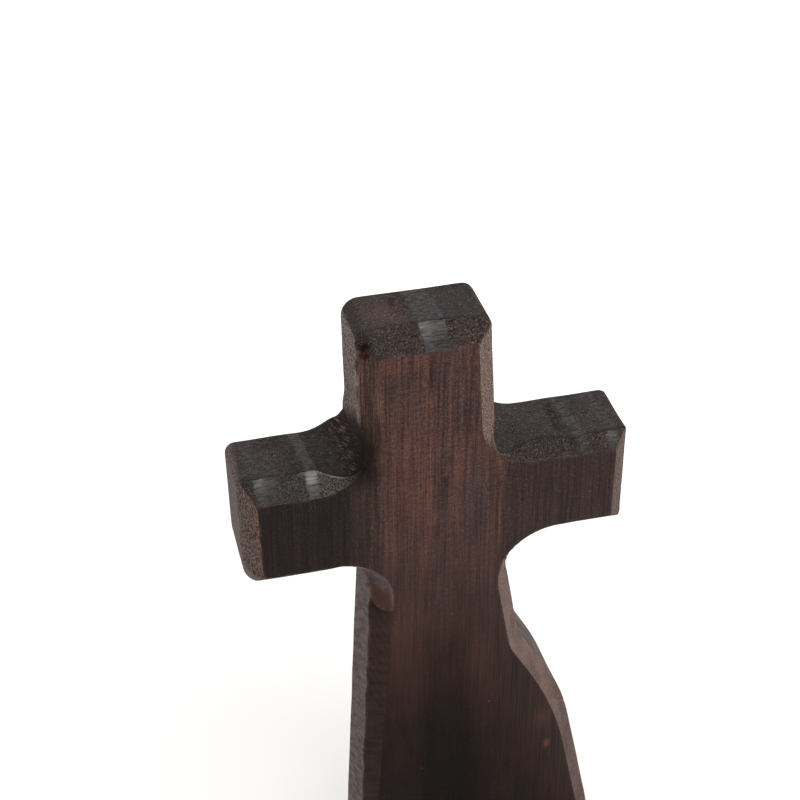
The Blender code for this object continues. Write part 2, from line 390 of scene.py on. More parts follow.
def add_face(shell, ring, firsts, station, flip):
    """A front or back face inside the rim's innermost line: head, two arms, crossing and stem."""
    closed = np.concatenate([ring, ring[:1]])
    edges = [closed[a:b + 1] for a, b in zip(firsts, firsts[1:])]
    (head_top, head_right, right_top, right_end, right_under, stem_right,
     foot, stem_left, left_under, left_end, left_top, head_left) = edges
    upper_left, upper_right = head_left[0], head_right[-1]
    lower_left, lower_right = stem_left[-1], stem_right[0]
    over = inner_edge(shell, upper_left, upper_right, ACROSS_STEM, station)
    under = inner_edge(shell, lower_left, lower_right, ACROSS_STEM, station)
    near_left = inner_edge(shell, upper_left, lower_left, ACROSS_ARM, station)
    near_right = inner_edge(shell, upper_right, lower_right, ACROSS_ARM, station)
    add_block(shell, head_top, over, head_left[::-1], head_right, station, flip)
    add_block(shell, over, under, near_left, near_right, station, flip)
    add_block(shell, under, foot[::-1], stem_left[::-1], stem_right, station, flip)
    add_block(shell, left_top, left_under[::-1], left_end[::-1], near_left, station, flip)
    add_block(shell, right_top, right_under[::-1], near_right, right_end, station, flip)


def cross_shell():
    """The whole closed surface, and for each vertex its station and its length along the outline."""
    knots, length, firsts = evenly_spread(profile_knots(outline()))
    rows, stations = profile_rows(knots)
    shell = Shell()
    grid = shell.add_points(rows, stations[:, None])
    closed_rows = np.concatenate([rows, rows[:, :1]], axis=1)
    closed_grid = np.concatenate([grid, grid[:, :1]], axis=1)
    whole = length[-1] * 2 - length[-2]
    across = np.cumsum(np.linalg.norm(np.diff(closed_rows, axis=0, prepend=closed_rows[:1]), axis=-1), axis=0)
    along = np.broadcast_to(np.append(length, whole), across.shape)
    shell.add_quads(closed_grid, np.stack([along, across], axis=-1), flip=False)
    add_face(shell, grid[0], firsts, 0.0, flip=True)
    add_face(shell, grid[-1], firsts, 5.0, flip=False)
    on_rim = np.arange(len(shell.place)) < grid.size
    run = np.zeros(len(shell.place))
    reach = np.zeros(len(shell.place))
    run[on_rim] = along[:, :-1].reshape(-1)
    reach[on_rim] = across[:, :-1].reshape(-1)
    return shell, run, reach


def vertex_normals(place, quads):
    """Each vertex's normal: the sum of its quads' diagonals' cross products, made one long."""
    crossed = np.cross(place[quads[:, 2]] - place[quads[:, 0]], place[quads[:, 3]] - place[quads[:, 1]])
    total = np.zeros_like(place)
    for corner in range(4):
        np.add.at(total, quads[:, corner], crossed)
    return unit(total)


# Slow uneven waves that the marks and the stain follow: each one's length in millimetres and its seed
WAVES = {
    "hand": (15.0, 1),
    "patchy": (8.0, 2),
    "side_strokes": (5.0, 3),
    "stem_strokes": (6.0, 4),
    "nicks": (2.2, 5),
    "splinters": (1.8, 6),
    "torn": (2.2, 7),
    "wander": (9.0, 11),
    "cloudy": (22.0, 12),
    "mottled": (7.0, 14),
}
# How many sines make up the waves, and what brings their mean back to about -1 to 1
WAVE_COUNT = 14
WAVE_GAIN = 2.4


def waves(place, name):
    """Smooth uneven waves: the mean of sines with lengths near the named one, in seeded directions."""
    size, seed = WAVES[name]
    rng = np.random.default_rng(seed)
    direction = unit(rng.normal(size=(WAVE_COUNT, 3))) * rng.uniform(0.7, 1.5, (WAVE_COUNT, 1))
    direction = direction * 2 * math.pi / size
    phase = rng.uniform(0, 2 * math.pi, WAVE_COUNT)
    return np.sin(place @ direction.T + phase).mean(axis=1) * WAVE_GAIN


def rise(x, start, end):
    """0 up to start, 1 from end on, and 3t^2 - 2t^3 between, t being the share of the way."""
    t = np.clip((x - start) / (end - start), 0, 1)
    return t * t * (3 - 2 * t)


def between(x, start, end, soft):
    """1 from start to end, and falling to 0 over `soft` on either side."""
    return rise(x, start - soft, start) * (1 - rise(x, end, end + soft))


def ridge(x, middle, half_width):
    """exp(-t^2), where t is the distance from the middle counted in half widths."""
    return np.exp(-((x - middle) / half_width) ** 2)


# A round mark or stain: its middle and its size along each axis in the board's own frame, and its
# strength, which is a depth in millimetres where it is cut into the wood
Spot = namedtuple("Spot", "middle size strength")


def spot(place, mark):
    """strength * exp(-r^2), where r is the distance from the middle counted in the spot's sizes."""
    return mark.strength * np.exp(-(((place - mark.middle) / mark.size) ** 2).sum(axis=1))


# The marks that hands and tools have left. The ramp is where the knife took the upper left inner
# corner off straight, through the whole board
CHIP = Spot((-18.1, -8.2, 197.6), (1.5, 2.4, 3.0), 1.5)
TORN_CORNER = Spot((19.4, -9.0, 130.0), (3.0, 3.5, 4.0), 0.55)
RAMP = Spot((-21.2, 0.0, 168.8), (2.3, 90.0, 2.3), 1.4)
HAND_DEPTH, PLANED_DEPTH = 0.2, 0.05
NICK_DEPTH, NICK_START = 0.22, 0.45

# The rasp's strokes: their spacing, their depth and how steeply they run, in radians
Rasp = namedtuple("Rasp", "pitch depth slant")
SIDE_RASP = Rasp(1.9, 0.07, 0.9)
STEM_RASP = Rasp(2.7, 0.2, -0.75)
STEM_RASP_HEIGHTS = (84.0, 115.0)

# The lip where the chamfer on the stem's left ends: its lower line's height at the face and at the
# side, how far that line sags, its swelling above the line and hollow below it, and where it lies
LIP_FACE_HEIGHT, LIP_SIDE_HEIGHT, LIP_SAG = 115.6, 119.4, 1.2
LIP_RISE, LIP_FALL, LIP_BULGE, LIP_UNDERCUT = 0.8, 8.5, 1.7, 0.6
LIP_HEIGHTS = (90.0, 131.0)
LIP_LEFT_OF = -8.0


def rasp_strokes(run, reach, rasp):
    """Parallel grooves: depth * (1 - |sin|) of the run along the rim and the reach across it, on a slant."""
    across = run * math.cos(rasp.slant) + reach * math.sin(rasp.slant)
    return rasp.depth * (1 - abs(np.sin(math.pi * across / rasp.pitch)))


def height_over_lip(station, z):
    """How far a place is above the lip's lower line, by the share of the way across the chamfer.

    The line goes straight from the face to the side, less LIP_SAG * sin(pi * share).
    """
    share = np.clip(station - AT_FACE, 0, 1)
    straight = LIP_FACE_HEIGHT + (LIP_SIDE_HEIGHT - LIP_FACE_HEIGHT) * share
    return z - (straight - LIP_SAG * np.sin(math.pi * share))


def relief(place, station, run, reach):
    """How far each vertex is cut into the wood along its normal, in millimetres."""
    x, _, z = place.T
    on_rim = between(station, AT_FACE, AT_BACK, 0.1)
    on_chamfer = between(station, AT_FACE + 0.1, AT_CREASE - 0.1, 0.1)
    on_side = between(station, AT_CREASE + 0.1, AT_EASING - 0.1, 0.1)
    depth = (0.5 + 0.4 * waves(place, "hand")) * (PLANED_DEPTH + (HAND_DEPTH - PLANED_DEPTH) * on_rim)

    patchy = 0.5 + 0.5 * waves(place, "patchy")
    side_strokes = rasp_strokes(run + 0.5 * waves(place, "side_strokes"), reach, SIDE_RASP)
    depth += side_strokes * patchy * (on_side + 0.6 * on_chamfer)
    left_of_stem = on_chamfer * (x < 0) * between(z, *STEM_RASP_HEIGHTS, 10.0)
    depth += rasp_strokes(run + 0.6 * waves(place, "stem_strokes"), reach, STEM_RASP) * left_of_stem

    over_lip = height_over_lip(station, z)
    near_lip = np.sin(math.pi * np.clip(station - AT_FACE, 0, 1)) * (x < LIP_LEFT_OF)
    near_lip *= between(z, *LIP_HEIGHTS, 2.0)
    depth -= LIP_BULGE * rise(over_lip, 0, LIP_RISE) * (1 - rise(over_lip, LIP_RISE, LIP_FALL)) * near_lip
    depth += LIP_UNDERCUT * between(over_lip, -1.2, 0.0, 5.0) * (over_lip < 0) * near_lip

    on_arris = ridge(station, AT_FACE, 0.1) + ridge(station, AT_CREASE, 0.12)
    depth += NICK_DEPTH * np.clip(waves(place, "nicks") - NICK_START, 0, 1) * on_arris
    depth += spot(place, CHIP) * (0.75 + 0.4 * waves(place, "splinters"))
    depth += spot(place, RAMP) * between(station, AT_CREASE, AT_BACK + 0.1, 0.6)
    depth += spot(place, TORN_CORNER) * np.clip(0.4 + waves(place, "torn"), 0, 1.4)
    return depth


# Where the annual rings are dense. They run from front to back, leaning a little to the left, so that
# each is a stretch of x half way through the board. Each has its greyness on the tops and its burnish,
# with a painted highlight, on the chamfers
DenseRing = namedtuple("DenseRing", "start end grey burnish")
DENSE_RINGS = (
    DenseRing(-4.2, 1.8, 1.0, 0.6),
    DenseRing(-33.4, -30.9, 1.0, 1.0),
    DenseRing(-46.6, -41.4, 0.5, 0.4),
    DenseRing(36.0, 38.4, 0.8, 0.2),
    DenseRing(44.4, 46.8, 0.5, 0.35),
)
RING_LEAN = 0.08

# The red heartwood runs up the middle, and takes in the whole head above the arms
HEART_LEFT, HEART_LEFT_IN_HEAD, HEART_RIGHT = -14.6, -24.0, 17.0
HEART_WIDER_IN_HEAD = 6.0
HEAD_START = 166.0

# Patches of the front where the stain took redder, greyer, darker or hardly at all. Each row has x and z,
# half the width and height, and the strength
PATCHES = {
    "red": (
        (-9.4, 194.9, 5.6, 2.5, 0.6), (-7.0, 183.0, 1.5, 3.6, 0.5), (-2.4, 181.6, 0.9, 4.6, 1.0),
        (6.5, 194.0, 2.4, 3.0, 0.3), (7.6, 167.0, 3.2, 4.5, 0.45), (-8.0, 168.0, 7.0, 6.0, 0.55),
        (-8.4, 155.0, 5.5, 9.0, 0.45), (-2.2, 156.0, 1.0, 13.0, 0.85), (5.7, 159.5, 2.0, 4.0, 0.6),
        (4.3, 145.0, 1.6, 6.0, 0.4), (-12.6, 143.0, 2.4, 5.0, 0.4), (-3.4, 134.0, 1.8, 6.0, 0.5),
        (-16.5, 174.0, 1.6, 4.0, 0.5), (-6.0, 104.0, 3.4, 15.0, 0.3),
    ),
    "grey": (
        (-12.3, 187.5, 2.2, 3.6, 0.8), (0.4, 189.6, 2.0, 4.0, 0.7), (7.2, 177.2, 3.6, 5.0, 0.7),
        (0.9, 155.0, 1.6, 12.0, 0.9), (10.8, 148.0, 2.8, 12.0, 0.75), (2.3, 127.0, 1.9, 12.0, 0.7),
        (12.0, 120.0, 3.0, 16.0, 0.5), (-9.0, 126.0, 3.0, 6.0, 0.3),
    ),
    "dark": (
        (-2.1, 191.0, 0.5, 5.5, 1.0), (-0.3, 140.5, 0.8, 3.5, 0.7), (1.2, 153.0, 1.0, 8.0, 0.5),
        (2.1, 156.0, 0.6, 1.4, 0.8), (-17.3, 176.0, 0.4, 6.0, 0.6), (-15.7, 189.4, 0.35, 4.0, 0.9),
        (-16.6, 180.0, 0.35, 5.0, 0.5), (8.0, 176.0, 0.35, 8.0, 0.4),
    ),
    "bare": (
        (-14.9, 183.0, 0.4, 8.0, 0.6), (2.7, 178.3, 0.3, 12.0, 0.55), (16.4, 143.0, 0.28, 8.0, 0.7),
        (2.1, 159.7, 0.5, 0.7, 0.7), (-0.6, 146.0, 0.5, 1.0, 0.6), (-2.3, 181.4, 0.45, 3.4, 0.45),
        (15.9, 160.0, 0.7, 1.7, 0.8), (-14.6, 166.8, 0.9, 1.2, 0.5), (5.2, 129.5, 0.5, 1.2, 0.4),
        (32.7, 56.7, 0.7, 1.2, 0.7), (31.0, 67.5, 2.2, 3.6, 0.2), (-20.9, 55.8, 0.5, 2.0, 0.5),
    ),
}

# Columns of small torn gouges on the tops. Each row has x and y, half the width and depth, and the strength
GOUGED_COLUMNS = (
    (-6.6, 4.0, 2.6, 4.5, 0.9), (6.5, 9.0, 5.0, 1.6, 0.7), (13.0, 6.0, 2.4, 3.0, 0.5),
    (33.6, 2.0, 1.3, 8.0, 0.9), (40.2, 6.0, 0.5, 3.0, 0.8), (-40.0, 7.0, 4.0, 3.0, 0.5),
)

# Stains and painted shade with a middle: painted shade in the upper left inner corner and a painted
# shadow under the lip, the pink end grain on the head, and the raw wood in the chip
# Painted shade: darkening in the upper left inner corner
CORNER_PAINTED_SHADE = (
    Spot((-18.2, -8.0, 169.5), (4.0, 7.0, 8.0), 1.0),
    Spot((-20.0, -11.0, 162.6), (6.0, 3.5, 4.0), 0.45),
)
# Painted shadow under the lip
LIP_PAINTED_SHADOW = Spot((-14.6, -8.8, 115.4), (4.2, 3.0, 1.3), 0.85)
PINK_END_GRAIN = (
    Spot((-11.0, 0.0, HEAD_TOP), (5.0, 5.0, 9.0), 1.0),
    Spot((9.5, -8.5, 198.0), (3.0, 4.0, 3.0), 1.0),
)
CHIP_STAIN = CHIP._replace(strength=1.0)

# Heights between which a stain fades, the stem darkens towards the foot, painted light fades or a wear sets
# in, in millimetres above the foot
FOOT_DARKENING = (48.0, 100.0)
LOW_DARKENING = (74.0, 155.0)
BLACK_BAND = (62.0, 112.0)
OPEN_GRAIN = (80.0, 186.0)
# Heights over which the wear and painted light on surfaces facing the right fade in, and fade out on the bow
RIGHT_FACING_FADE = (30.0, 120.0)
BOW_FADE = (96.0, 136.0)
HEAD_FLANK = (172.0, 177.0)
TORN_BAND = (150.0, 173.0)
LIGHT_ARRIS = (176.0, 196.0)
FACE_ARRIS = (118.0, 126.0)
LIP_ARRIS = (118.0, 127.0)

# Heights that part the stem, the arms and the head
STEM_CHAMFER_TOP = 118.0
STEM_SIDE_TOP = 133.0
ARMS_MIDDLE = 150.0
HEAD_CHAMFER_FOOT = 160.0
ARM_CHAMFERS_TOP = 175.0

# How much of a normal has to point sideways for a surface to count as facing that way
FACING_FROM, FACING_TO = 0.3, 0.55


def patchiness(x, z, rows, power):
    """The sum of strength * exp(-u^power - v^power), up to 1, u and v being distances in half sizes."""
    total = sum(
        strength * np.exp(-((x - middle_x) / half_x) ** power - ((z - middle_z) / half_z) ** power)
        for middle_x, middle_z, half_x, half_z, strength in rows
    )
    return np.clip(total, 0, 1)


class Skin:
    """What the finish goes by at each vertex: its place and station, how it faces, and slow waves."""

    def __init__(self, place, normal, station):
        self.place, self.station = place, station
        self.x, self.y, self.z = place.T
        self.wander = waves(place * (1, 1, 0.15), "wander")
        self.cloudy = waves(place, "cloudy")
        self.mottled = waves(place, "mottled")
        self.on_side = between(station, AT_CREASE + 0.03, AT_EASING - 0.03, 0.05)
        self.on_chamfer = between(station, AT_FACE + 0.03, AT_CREASE - 0.03, 0.05)
        self.facing_right = rise(normal[:, 0], FACING_FROM, FACING_TO)
        self.facing_left = rise(-normal[:, 0], FACING_FROM, FACING_TO)
        steepest = 0.3 + 0.35 * between(self.z, 4.0, STEM_CHAMFER_TOP, 3.0)
        end_grain = rise(abs(normal[:, 2]), steepest, steepest + 0.2)
        at_top = rise(self.z + 0.5 * self.wander, HEAD_TOP - 5.6, HEAD_TOP - 4.4) * self.on_chamfer
        self.end_grain = np.maximum(end_grain, at_top)


def long_grain_amounts(skin):
    """The colours of the long grain: heartwood, the stem darker towards the foot, the patches and the open
    pores.
    """
    x, z, wander = skin.x, skin.z, skin.wander
    in_head = rise(z + 2 * wander, HEAD_START - 3, HEAD_START + 5)
    heart_left = HEART_LEFT + (HEART_LEFT_IN_HEAD - HEART_LEFT) * in_head
    heart_right = HEART_RIGHT + HEART_WIDER_IN_HEAD * in_head
    heart = rise(x + 0.5 * wander, heart_left - 0.8, heart_left + 1.2)
    heart *= 1 - rise(x + wander, heart_right - 4.0, heart_right + 2.5)
    right_of_middle = np.maximum(x - 8.0, 0.0)
    widening = rise(100.0 - z, 0.0, 60.0)
    black_band = between(x + 0.6 * wander, -1.0, 5.5 + 5.5 * widening, 3.0 + 4.0 * widening)
    quiet = 0.6 * rise(-x, HEART_RIGHT, 24.0) + 0.3 * rise(x, HEART_RIGHT, 24.0)
    open_grain = (0.1 + 0.9 * rise(z, *OPEN_GRAIN)) * (1 - quiet)
    on_front = skin.station < AT_CREASE
    patchy = {name: patchiness(x, z, rows, 2) * on_front for name, rows in PATCHES.items()}
    return patchy | {
        "open_grain": open_grain,
        "filled_grain": 1 - open_grain,
        "heart": heart,
        "near_heart": between(x + 2 * wander, HEART_LEFT - 3.0, HEART_RIGHT + 40.0, 8.0),
        # Darker towards the foot
        "low_stain": 1 - rise(z + 5 * skin.cloudy + 2.3 * right_of_middle, *LOW_DARKENING),
        "foot_stain": 1 - rise(z + 4 * skin.cloudy + 1.7 * right_of_middle, *FOOT_DARKENING),
        "black_band": black_band * (1 - rise(z, *BLACK_BAND)),
    }


def end_grain_amounts(skin):
    """The end grain on the tops and the upper chamfers, with its dense rings, gouges and crease, and painted
    highlights on the rings' chamfer bands and along the crease.
    """
    x, y, end_grain = skin.x, skin.y, skin.end_grain
    above_arms = skin.z > ARMS_MIDDLE
    leaning_back = x + RING_LEAN * y
    grey, bright = 0.0, 0.0
    for ring in DENSE_RINGS:
        inside = between(leaning_back + 0.2 * skin.wander, ring.start, ring.end, 0.35)
        grey = grey + ring.grey * inside
        fading = 1 - 0.5 * rise(leaning_back, ring.start + 1.6, ring.start + 3.2)
        # Burnish with a painted highlight on each ring's chamfer band
        bright = bright + ring.burnish * inside * fading
    down_chamfer = rise(skin.station, AT_FACE + 0.2, AT_CREASE - 0.15)
    pinkish = sum(spot(skin.place, stain) for stain in PINK_END_GRAIN)
    on_arm_chamfers = end_grain * skin.on_chamfer * above_arms
    # Painted highlight along the crease of the left arm
    crease_light = ridge(skin.station, AT_CREASE - 0.04, 0.03) * end_grain * between(x, -33.0, -24.0, 2.5)
    return {
        "end_grain": end_grain,
        "top": end_grain * skin.on_side,
        "pale_chamfer": between(x, -30.0, -21.0, 4.0) * on_arm_chamfers * (skin.z < ARM_CHAMFERS_TOP),
        "smooth_chamfer": between(x, -41.0, -34.5, 2.0) * on_arm_chamfers,
        "pinkish": np.clip(pinkish, 0, 1) * end_grain,
        "dark_top": between(x, -34.0, -22.0, 6.0) * skin.on_side * above_arms,
        "dense_ring": np.clip(grey, 0, 1) * end_grain,
        # Burnish with a painted highlight, brightest near the crease
        "burnished": np.clip(bright, 0, 1) * end_grain * skin.on_chamfer * (0.2 + 0.8 * down_chamfer),
        "gouged": patchiness(x, y, GOUGED_COLUMNS, 4) * end_grain * skin.on_side,
        "crease": ridge(skin.station, AT_CREASE + 0.035, 0.025) * end_grain,
        "crease_light": crease_light * np.clip(0.5 + skin.mottled, 0, 1),
    }


def side_amounts(skin):
    """The long-grain sides and chamfers: lighter where they face the right, from wear and painted light,
    pitted or rasped on the left.
    """
    x, z, station = skin.x, skin.z, skin.station
    on_side, on_chamfer, facing_left = skin.on_side, skin.on_chamfer, skin.facing_left
    long_grain = 1 - skin.end_grain
    fading_down = 0.45 + 0.55 * rise(z, *RIGHT_FACING_FADE)
    at_left_end = rise(-x, 42.0, 45.0)
    at_right_end = rise(x, 42.0, 46.0) * rise(z, 120.0, 130.0)
    # Wear with painted light: chamfers facing the right made lighter as if lit from the right, less so lower
    # down
    rubbed = np.clip(skin.facing_right * on_chamfer * (1 - 0.35 * at_right_end) * fading_down, 0, 1)
    left_end = at_left_end * facing_left
    return {
        "rubbed": rubbed,
        "rubbed_low": rubbed * (1 - rise(z, *BOW_FADE)),
        # Painted light: sides facing the right made lighter
        "right_flank": skin.facing_right * on_side * long_grain * fading_down,
        "head_flank": facing_left * on_side * long_grain * rise(z + 0.6 * skin.y, *HEAD_FLANK),
        "stem_flank": facing_left * on_side * long_grain * (z < STEM_SIDE_TOP),
        "left_chamfer": facing_left * on_chamfer * (z > HEAD_CHAMFER_FOOT) * (1 - at_left_end),
        "stem_chamfer": facing_left * on_chamfer * (z < STEM_CHAMFER_TOP),
        "left_end": left_end * (station > AT_FACE) * (station < AT_BACK),
        "left_end_side": left_end * on_side,
        "by_face": left_end * (1 - rise(station, AT_FACE + 0.1, AT_FACE + 0.5)) * (station > AT_FACE),
        "worked": np.clip(on_side + on_chamfer, 0, 1),
    }


def corner_amounts(skin):
    """Painted shade in the inner corner and under the lip, the lip with painted light on its upper part, the
    chip, and the arrises that hands have worn, which also carry a painted highlight.
    """
    x, z, station = skin.x, skin.z, skin.station
    torn_band = ridge(x + 0.12 * skin.y + 0.5 * skin.wander, -21.6, 2.6) * skin.on_side
    # Painted shade in the inner corner and painted shadow under the lip
    corner_shade = sum(spot(skin.place, stain) for stain in CORNER_PAINTED_SHADE)
    lip_shadow = spot(skin.place, LIP_PAINTED_SHADOW) * skin.on_chamfer
    by_lip = x < LIP_LEFT_OF
    over_lip = height_over_lip(station, z)
    in_lip = skin.on_chamfer * by_lip * between(over_lip, 0.6, 18.0, 0.8)
    up_lip = rise(over_lip, 3.5, 9.0)
    # Worn arrises, also lighter as a painted highlight
    side_arris = ridge(station, AT_CREASE, 0.05) * np.clip(0.45 + skin.mottled, 0, 1)
    side_arris *= 1 - skin.end_grain
    face_arris = ridge(station, AT_FACE, 0.06) * np.clip(0.3 + skin.mottled, 0, 1) * rise(z, *FACE_ARRIS)
    face_arris *= 1 - np.clip(2.0 * corner_shade, 0, 1)
    lip_arris = ridge(station, AT_FACE, 0.04) * by_lip * between(z, *LIP_ARRIS, 2.0)
    # Painted highlight with worn stain along the head's left arris
    light_arris = ridge(station, AT_CREASE + 0.01, 0.07) * (x < 0) * between(z, *LIGHT_ARRIS, 3.0)
    return {
        "torn": np.clip(torn_band * between(z, *TORN_BAND, 3.0), 0, 1),
        "gloom": np.clip(1.1 * corner_shade + lip_shadow, 0, 1),
        # Painted light on the lip's upward-facing upper part
        "pale_lip": in_lip * up_lip,
        "red_lip": in_lip * (1 - up_lip),
        "worn_arris": np.clip(side_arris + 0.45 * face_arris + 0.8 * lip_arris, 0, 1),
        "light_arris": light_arris * np.clip(0.55 + skin.mottled, 0, 1),
        "chip": spot(skin.place, CHIP_STAIN),
    }


def finish_amounts(place, normal, station):
    """What the stain and wear do at each vertex, each 0 to 1, by the name that the material reads."""
    skin = Skin(place, normal, station)
    return long_grain_amounts(skin) | end_grain_amounts(skin) | side_amounts(skin) | corner_amounts(skin)


def carved_mesh():
    """The cross as one mesh in metres, its relief cut in, with its UV map and its finish's amounts."""
    shell, run, reach = cross_shell()
    quads = np.concatenate(shell.quads)
    smooth_normal = vertex_normals(shell.place, quads)
    depth = relief(shell.place, shell.station, run, reach)
    place = np.clip(shell.place - smooth_normal * depth[:, None], LOW, HIGH)
    mesh = bpy.data.meshes.new("carved_cross")
    mesh.from_pydata(place * MM, [], quads)
    uv_map = mesh.uv_layers.new(name="rim")
    uv_map.data.foreach_set("uv", (np.concatenate(shell.uvs) * MM).astype(np.float32).reshape(-1))
    for name, amount in finish_amounts(shell.place, smooth_normal, shell.station).items():
        attribute = mesh.attributes.new(name, "FLOAT", "POINT")
        attribute.data.foreach_set("value", amount.astype(np.float32))
    mesh.shade_smooth()
    return mesh


def linear(hex_colour):
    """An sRGB hex colour as linear red, green, blue and an alpha of 1."""
    parts = [int(hex_colour[i:i + 2], 16) / 255 for i in (1, 3, 5)]
    return [p / 12.92 if p <= 0.04045 else ((p + 0.055) / 1.055) ** 2.4 for p in parts] + [1.0]


def add_node(tree, kind, inputs, out=0, **settings):
    """Adds a node, sets it, links or fills its inputs, and returns one of its outputs."""
    node = tree.nodes.new("ShaderNode" + kind)
    for name, value in settings.items():
        setattr(node, name, value)
    for socket, value in inputs.items():
        if isinstance(value, bpy.types.NodeSocket):
            tree.links.new(value, node.inputs[socket])
        else:
            node.inputs[socket].default_value = value
    return node.outputs[out]


# The wood's patterns: where each is laid, its size along the axes in millimetres, its detail and
# roughness, and its slant. Real vessels are about 0.15 mm wide, too fine to show from the camera, so the
# lines and the grit are drawn two to three times as coarse
Pattern = namedtuple("Pattern", "laid_on size detail roughness slant", defaults=(0.0,))
PATTERNS = {
    "lines": Pattern("board", (0.45, 0.45, 18.0), 1.0, 0.5),
    "flecks": Pattern("board", (0.38, 0.38, 1.0), 1.0, 0.5),
    "ripple": Pattern("board", (3.5, 3.5, 0.8), 1.0, 0.5),
    "grain": Pattern("board", (1.9, 1.9, 60.0), 2.0, 0.5),
    "bands": Pattern("board", (6.5, 18.0, 110.0), 2.0, 0.5),
    "patches": Pattern("board", (6.0, 6.0, 11.0), 3.0, 0.6),
    "grit": Pattern("board", (0.4, 0.4, 0.4), 2.0, 0.7),
    "clumps": Pattern("board", (1.5, 1.5, 1.5), 2.0, 0.6),
    "blotches": Pattern("board", (5.0, 5.0, 5.0), 3.0, 0.6),
    "strokes": Pattern("board", (1.5, 0.42, 0.42), 1.0, 0.5),
    "gouges": Pattern("board", (1.2, 0.7, 0.7), 1.0, 0.6),
    "upright": Pattern("board", (0.34, 0.34, 0.9), 2.0, 0.6),
    "striae": Pattern("rim", (4.5, 0.45, 1.0), 2.0, 0.6),
    "drags": Pattern("rim", (0.85, 4.0, 1.0), 2.0, 0.6, 0.3),
    "scores": Pattern("rim", (1.6, 8.0, 1.0), 2.0, 0.6, -0.6),
    "tears": Pattern("rim", (0.26, 3.4, 1.0), 1.0, 0.5, -0.46),
    "pits": Pattern("board", (0.8, 0.8, 0.8), 1.0, 0.5),
}

# Shares that a pattern gives by itself: 0 at its first value and 1 at its second
Share = namedtuple("Share", "pattern none full")
SHARES = {
    "reddish": Share("bands", 0.52, 0.66),
    "purplish": Share("patches", 0.5, 0.38),
    "patchy": Share("patches", 0.46, 0.62),
    "vessel": Share("lines", 0.42, 0.32),
    "soot": Share("grit", 0.48, 0.36),
    "spark": Share("grit", 0.54, 0.68),
    "bright_spark": Share("grit", 0.62, 0.72),
    "level": Share("ripple", 0.52, 0.36),
    "charcoal": Share("blotches", 0.44, 0.58),
    "clump": Share("clumps", 0.52, 0.4),
    "pit": Share("pits", 0.46, 0.39),
    "gouge": Share("gouges", 0.56, 0.46),
    "tear": Share("tears", 0.55, 0.68),
    "chipped": Share("clumps", 0.62, 0.5),
}

# Specks of dust, one to a cell of this size, and their radius as a share of it
DUST_SPACING, DUST_RADIUS = 7.0, 0.035

